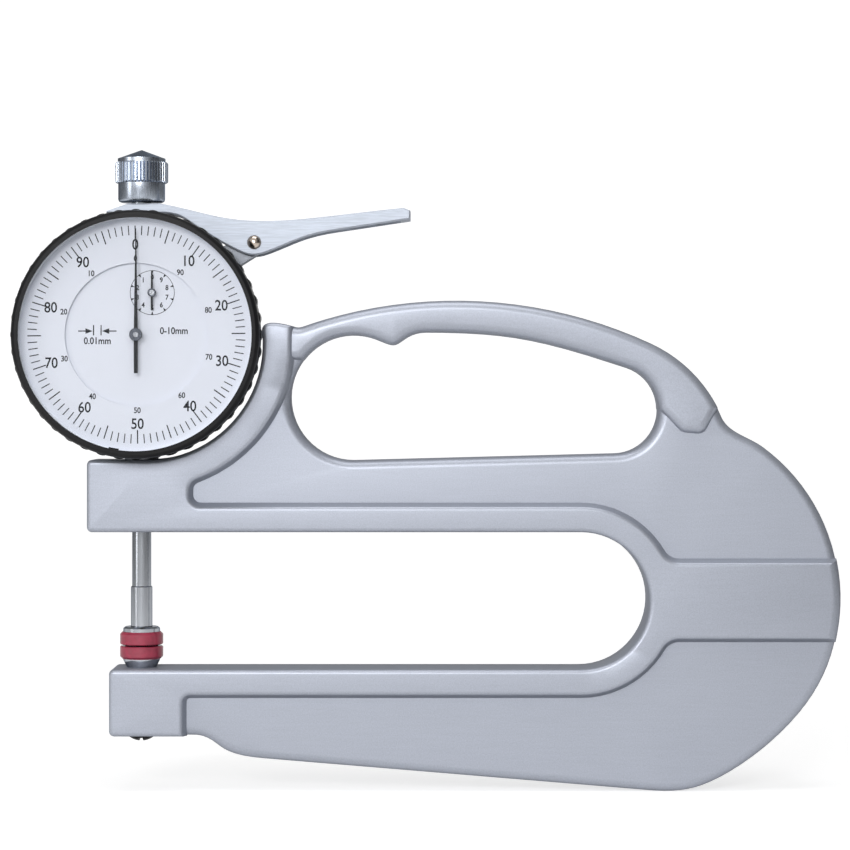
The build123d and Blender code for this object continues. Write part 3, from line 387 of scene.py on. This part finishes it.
def smoothing():
    """A modifier group that joins the CAD faces and shades them smooth up to an angle."""
    group = bpy.data.node_groups.new("smooth_pieces", "GeometryNodeTree")
    for way in ("INPUT", "OUTPUT"):
        group.interface.new_socket("Geometry", in_out=way, socket_type="NodeSocketGeometry")
    source = group.nodes.new("NodeGroupInput")
    result = group.nodes.new("NodeGroupOutput")
    weld = group.nodes.new("GeometryNodeMergeByDistance")
    weld.inputs["Distance"].default_value = weld_distance
    smooth = group.nodes.new("GeometryNodeSetShadeSmooth")
    sharp = group.nodes.new("GeometryNodeSetShadeSmooth")
    sharp.domain = "EDGE"
    sharp.inputs["Shade Smooth"].default_value = False
    angle = group.nodes.new("GeometryNodeInputMeshEdgeAngle")
    test = group.nodes.new("FunctionNodeCompare")
    test.operation = "GREATER_THAN"
    test.inputs[1].default_value = sharp_angle
    group.links.new(source.outputs[0], weld.inputs["Geometry"])
    group.links.new(weld.outputs["Geometry"], smooth.inputs["Geometry"])
    group.links.new(smooth.outputs["Geometry"], sharp.inputs["Geometry"])
    group.links.new(angle.outputs["Unsigned Angle"], test.inputs[0])
    group.links.new(test.outputs["Result"], sharp.inputs["Selection"])
    group.links.new(sharp.outputs["Geometry"], result.inputs[0])
    return group


smooth_group = smoothing()
slots = {entry["node"]: entry["material_slot"] for entry in frame["record"]["subparts"]}
for name, piece in nodes.items():
    modifier = piece.modifiers.new("smooth", "NODES")
    modifier.node_group = smooth_group
    piece.data.materials.clear()
    piece.data.materials.append(materials[own_materials.get(name, slots[name])])


# Dial print, and an arc of painted shade at the crystal's edge


def dial_point(radius, angle, centre=(0, 0)):
    """A place on the dial in millimetres from its centre, clockwise from the top."""
    x = centre[0] + radius * sin(radians(angle))
    z = centre[1] + radius * cos(radians(angle))
    return x, z


def flat_piece(name, outlines, face_y, body):
    """Printed shapes, and an arc of painted shade, as thin plates on a dial face.

    Outlines are loops of (x, z) in millimetres from the dial's centre.
    """
    mesh = bpy.data.meshes.new(name)
    build = bmesh.new()
    y = face_y - print_thick * MM
    for outline in outlines:
        build.faces.new([build.verts.new((dial_x + x * MM, y, dial_z + z * MM)) for x, z in outline])
    build.normal_update()
    for face in build.faces:
        if face.normal.y > 0:
            face.normal_flip()
    build.to_mesh(mesh)
    build.free()
    mesh.materials.append(print_and_painted_shade)
    piece = bpy.data.objects.new(name, mesh)
    bpy.context.scene.collection.objects.link(piece)
    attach(piece, body)


def numeral(name, text, place, height, face_y, body):
    """Upright figures centred on a place of the dial."""
    curve = bpy.data.curves.new(name, "FONT")
    curve.body = text
    curve.align_x = "CENTER"
    curve.align_y = "CENTER"
    curve.size = height * MM / figure_share
    curve.offset = figure_bold * MM
    curve.extrude = print_thick * MM / 2
    curve.resolution_u = figure_curve_steps
    curve.materials.append(print_and_painted_shade)
    piece = bpy.data.objects.new(name, curve)
    bpy.context.scene.collection.objects.link(piece)
    piece.rotation_euler = (pi / 2, 0, 0)
    piece.scale = (figure_narrow, 1, 1)
    x = dial_x + place[0] * MM
    y = face_y - print_thick * MM / 2
    z = dial_z + place[1] * MM
    piece.location = (x, y, z)
    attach(piece, body)


def tick(angle, inner, outer, width):
    """One radial line as four corners."""
    direction = Vector((sin(radians(angle)), cos(radians(angle))))
    side = Vector((direction.y, -direction.x)) * width / 2
    corners = [
        direction * inner - side,
        direction * outer - side,
        direction * outer + side,
        direction * inner + side,
    ]
    return [tuple(corner) for corner in corners]


def arc_band(radius, width, start, end, centre=(0, 0), steps=ring_steps):
    """A thin ring segment as a row of quads."""
    inner = radius - width / 2
    outer = radius + width / 2
    quads = []
    for i in range(steps):
        a = start + (end - start) * i / steps
        b = start + (end - start) * (i + 1) / steps
        corners = ((inner, a), (outer, a), (outer, b), (inner, b))
        quads.append([dial_point(reach, angle, centre) for reach, angle in corners])
    return quads


def outer_scale():
    """The division lines and both rows of figures of the dial that turns with the bezel."""
    lines = []
    for i in range(divisions):
        is_major = i % major_every == 0
        length = major_tick if is_major else minor_tick
        width = major_width if is_major else minor_width
        angle = i * division_angle + dial_turn
        lines.append(tick(angle, tick_outer - length, tick_outer, width))
    flat_piece("outer_ticks", lines, outer_dial_y, "bezel_group")
    for i in range(figure_count):
        angle = i * figure_angle + dial_turn
        number_here = i * divisions // figure_count
        rows = (
            ("figure", number_here, large_radius, large_height),
            ("small_figure", (divisions - number_here) % divisions, small_radius, small_height),
        )
        for row, number, radius, height in rows:
            place = dial_point(radius, angle)
            name = f"{row}_{number}"
            text = str(number)
            numeral(name, text, place, height, outer_dial_y, "bezel_group")


def counter_scale():
    """The ring, the pointed marks and the figures of the small dial."""
    shapes = arc_band(counter_circle, counter_line, 0, 360, counter_centre)
    for i in range(figure_count):
        angle = i * figure_angle
        point = dial_point(counter_circle - counter_tick, angle, counter_centre)
        left = dial_point(counter_circle, angle - counter_foot, counter_centre)
        right = dial_point(counter_circle, angle + counter_foot, counter_centre)
        shapes.append([point, left, right])
    flat_piece("counter_ticks", shapes, inner_dial_y, "base")
    for i in range(figure_count):
        text = str((figure_count - i) % figure_count)
        name = f"counter_figure_{text}"
        place = dial_point(counter_radius, i * figure_angle, counter_centre)
        numeral(name, text, place, counter_height, inner_dial_y, "base")


def rectangle(x0, x1, z0, z1):
    return [(x0, z0), (x0, z1), (x1, z1), (x1, z0)]


def arrow(x, way):
    """A short arrow up to a bar at x, to the right for a way of 1 and to the left for -1."""
    level = value_level
    tail, neck, tip = (x - way * reach for reach in (arrow_tail, arrow_neck, arrow_tip))
    shaft = rectangle(tail, neck, level - arrow_line, level + arrow_line)
    head = [(neck, level - arrow_half), (neck, level + arrow_half), (tip, level)]
    bar = rectangle(x - arrow_line, x + arrow_line, level - bar_below, level + bar_above)
    return [shaft, head, bar]


def value_marks():
    """The value of one division with its arrows at the left, and the range at the right."""
    rows = (("division_value", "0.01mm", value_place), ("range_value", "0-10mm", range_place))
    for name, text, place in rows:
        numeral(name, text, place, value_height, inner_dial_y, "base")
    arrows = arrow(arrow_bars[0], 1) + arrow(arrow_bars[1], -1)
    flat_piece("division_arrows", arrows, inner_dial_y, "base")


def bezel_mark():
    """A short dark arc of painted shade, in the gap where the crystal meets the bezel."""
    arc = arc_band(shade_arc_radius, shade_arc_width, shade_arc_start, shade_arc_end, steps=shade_arc_steps)
    flat_piece("crystal_gap_shade", arc, crystal_y, "bezel_group")


outer_scale()
bezel_mark()
counter_scale()
value_marks()


# Floor, light and camera


def stage_sweep(material):
    """Floor and backdrop as one sheet that turns up in a wide cove behind the object."""
    profile = [(-stage_half, 0)]
    for i in range(cove_steps + 1):
        angle = radians(90 * i / cove_steps)
        y = backdrop_y - cove_radius + cove_radius * sin(angle)
        z = cove_radius - cove_radius * cos(angle)
        profile.append((y, z))
    profile.append((backdrop_y, stage_top))
    corners = [(x, y, z) for y, z in profile for x in (-stage_half, stage_half)]
    faces = [(2 * i, 2 * i + 1, 2 * i + 3, 2 * i + 2) for i in range(len(profile) - 1)]
    mesh = bpy.data.meshes.new("stage")
    mesh.from_pydata(corners, [], faces)
    mesh.polygons.foreach_set("use_smooth", [True] * len(faces))
    mesh.materials.append(material)
    piece = bpy.data.objects.new("stage", mesh)
    bpy.context.scene.collection.objects.link(piece)


def stage_white():
    """Grey card that looks white around the object and grey far off, and keeps its shadow."""
    material, tree, shader = new_material("stage_white")
    shader.inputs["Base Color"].default_value = (*stage_grey, 1)
    shader.inputs["Roughness"].default_value = 0.9
    shader.inputs["Specular IOR Level"].default_value = 0.1
    path = tree.nodes.new("ShaderNodeLightPath").outputs
    either = math_node(tree, "MAXIMUM", path["Is Camera Ray"], path["Is Glossy Ray"])
    is_seen = math_node(tree, "MAXIMUM", either, path["Is Transmission Ray"])
    coordinates = tree.nodes.new("ShaderNodeTexCoord")
    offset = vector_node(tree, "SUBTRACT", coordinates.outputs["Object"], white_centre)
    scaled = vector_node(tree, "DIVIDE", offset.outputs["Vector"], white_reach)
    distance = vector_node(tree, "LENGTH", scaled.outputs["Vector"]).outputs["Value"]
    fade = tree.nodes.new("ShaderNodeValToRGB")
    fade.color_ramp.interpolation = "EASE"
    for i, (place, strength) in enumerate(white_levels):
        is_there = i < len(fade.color_ramp.elements)
        stop = fade.color_ramp.elements[i] if is_there else fade.color_ramp.elements.new(place)
        stop.position = place
        stop.color = (strength, strength, strength, 1)
    tree.links.new(distance, fade.inputs["Fac"])
    strength = math_node(tree, "MULTIPLY", is_seen, fade.outputs["Color"])
    shader.inputs["Emission Color"].default_value = (1, 1, 1, 1)
    tree.links.new(strength, shader.inputs["Emission Strength"])
    return material


def softbox(name, place, target, size, power):
    """A rectangular area lamp that points at a target."""
    light = bpy.data.lights.new(name, "AREA")
    light.shape = "RECTANGLE"
    light.size, light.size_y = size
    light.energy = power
    piece = bpy.data.objects.new(name, light)
    bpy.context.scene.collection.objects.link(piece)
    piece.location = place
    direction = Vector(target) - Vector(place)
    piece.rotation_euler = direction.to_track_quat("-Z", "Y").to_euler()


def surroundings():
    """A light tent that is brightest above the front and dim behind and below."""
    world = bpy.data.worlds.new("tent")
    bpy.context.scene.world = world
    world.use_nodes = True
    tree = world.node_tree
    tree.nodes.clear()
    output = tree.nodes.new("ShaderNodeOutputWorld")
    tent = tree.nodes.new("ShaderNodeBackground")
    coordinates = tree.nodes.new("ShaderNodeTexCoord")
    towards = Vector(tent_direction).normalized()
    facing = vector_node(tree, "DOT_PRODUCT", coordinates.outputs["Generated"], towards)
    source, target = (tent_start, tent_full), (tent_low, tent_high)
    grade = map_range(tree, facing.outputs["Value"], source, target)
    grade.interpolation_type = "SMOOTHSTEP"
    tree.links.new(grade.outputs["Result"], tent.inputs["Strength"])
    tree.links.new(tent.outputs["Background"], output.inputs["Surface"])


def photo_camera():
    """A long lens that looks level, straight at the frame's face."""
    data = bpy.data.cameras.new("camera")
    camera = bpy.data.objects.new("camera", data)
    bpy.context.scene.collection.objects.link(camera)
    data.sensor_width = sensor_width
    data.lens = scale_at_middle / MM * view_distance / photo_pixels * sensor_width
    data.shift_x = (photo_pixels / 2 - axis_column) / photo_pixels
    data.shift_y = (axis_row - photo_pixels / 2) / photo_pixels
    contact_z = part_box("anvil")[1].z
    x = spindle_x + (axis_column - spindle_column) / scale_at_middle * MM
    z = contact_z + (contact_row - axis_row) / scale_at_middle * MM
    camera.location = (x, middle_y - view_distance, z)
    camera.rotation_euler = (pi / 2, 0, 0)
    data.clip_start = near_clip
    data.clip_end = far_clip
    bpy.context.scene.camera = camera


stage_sweep(stage_white())
surroundings()
for lamp in lamps:
    softbox(*lamp)
photo_camera()
bpy.context.scene.view_settings.view_transform = "Standard"
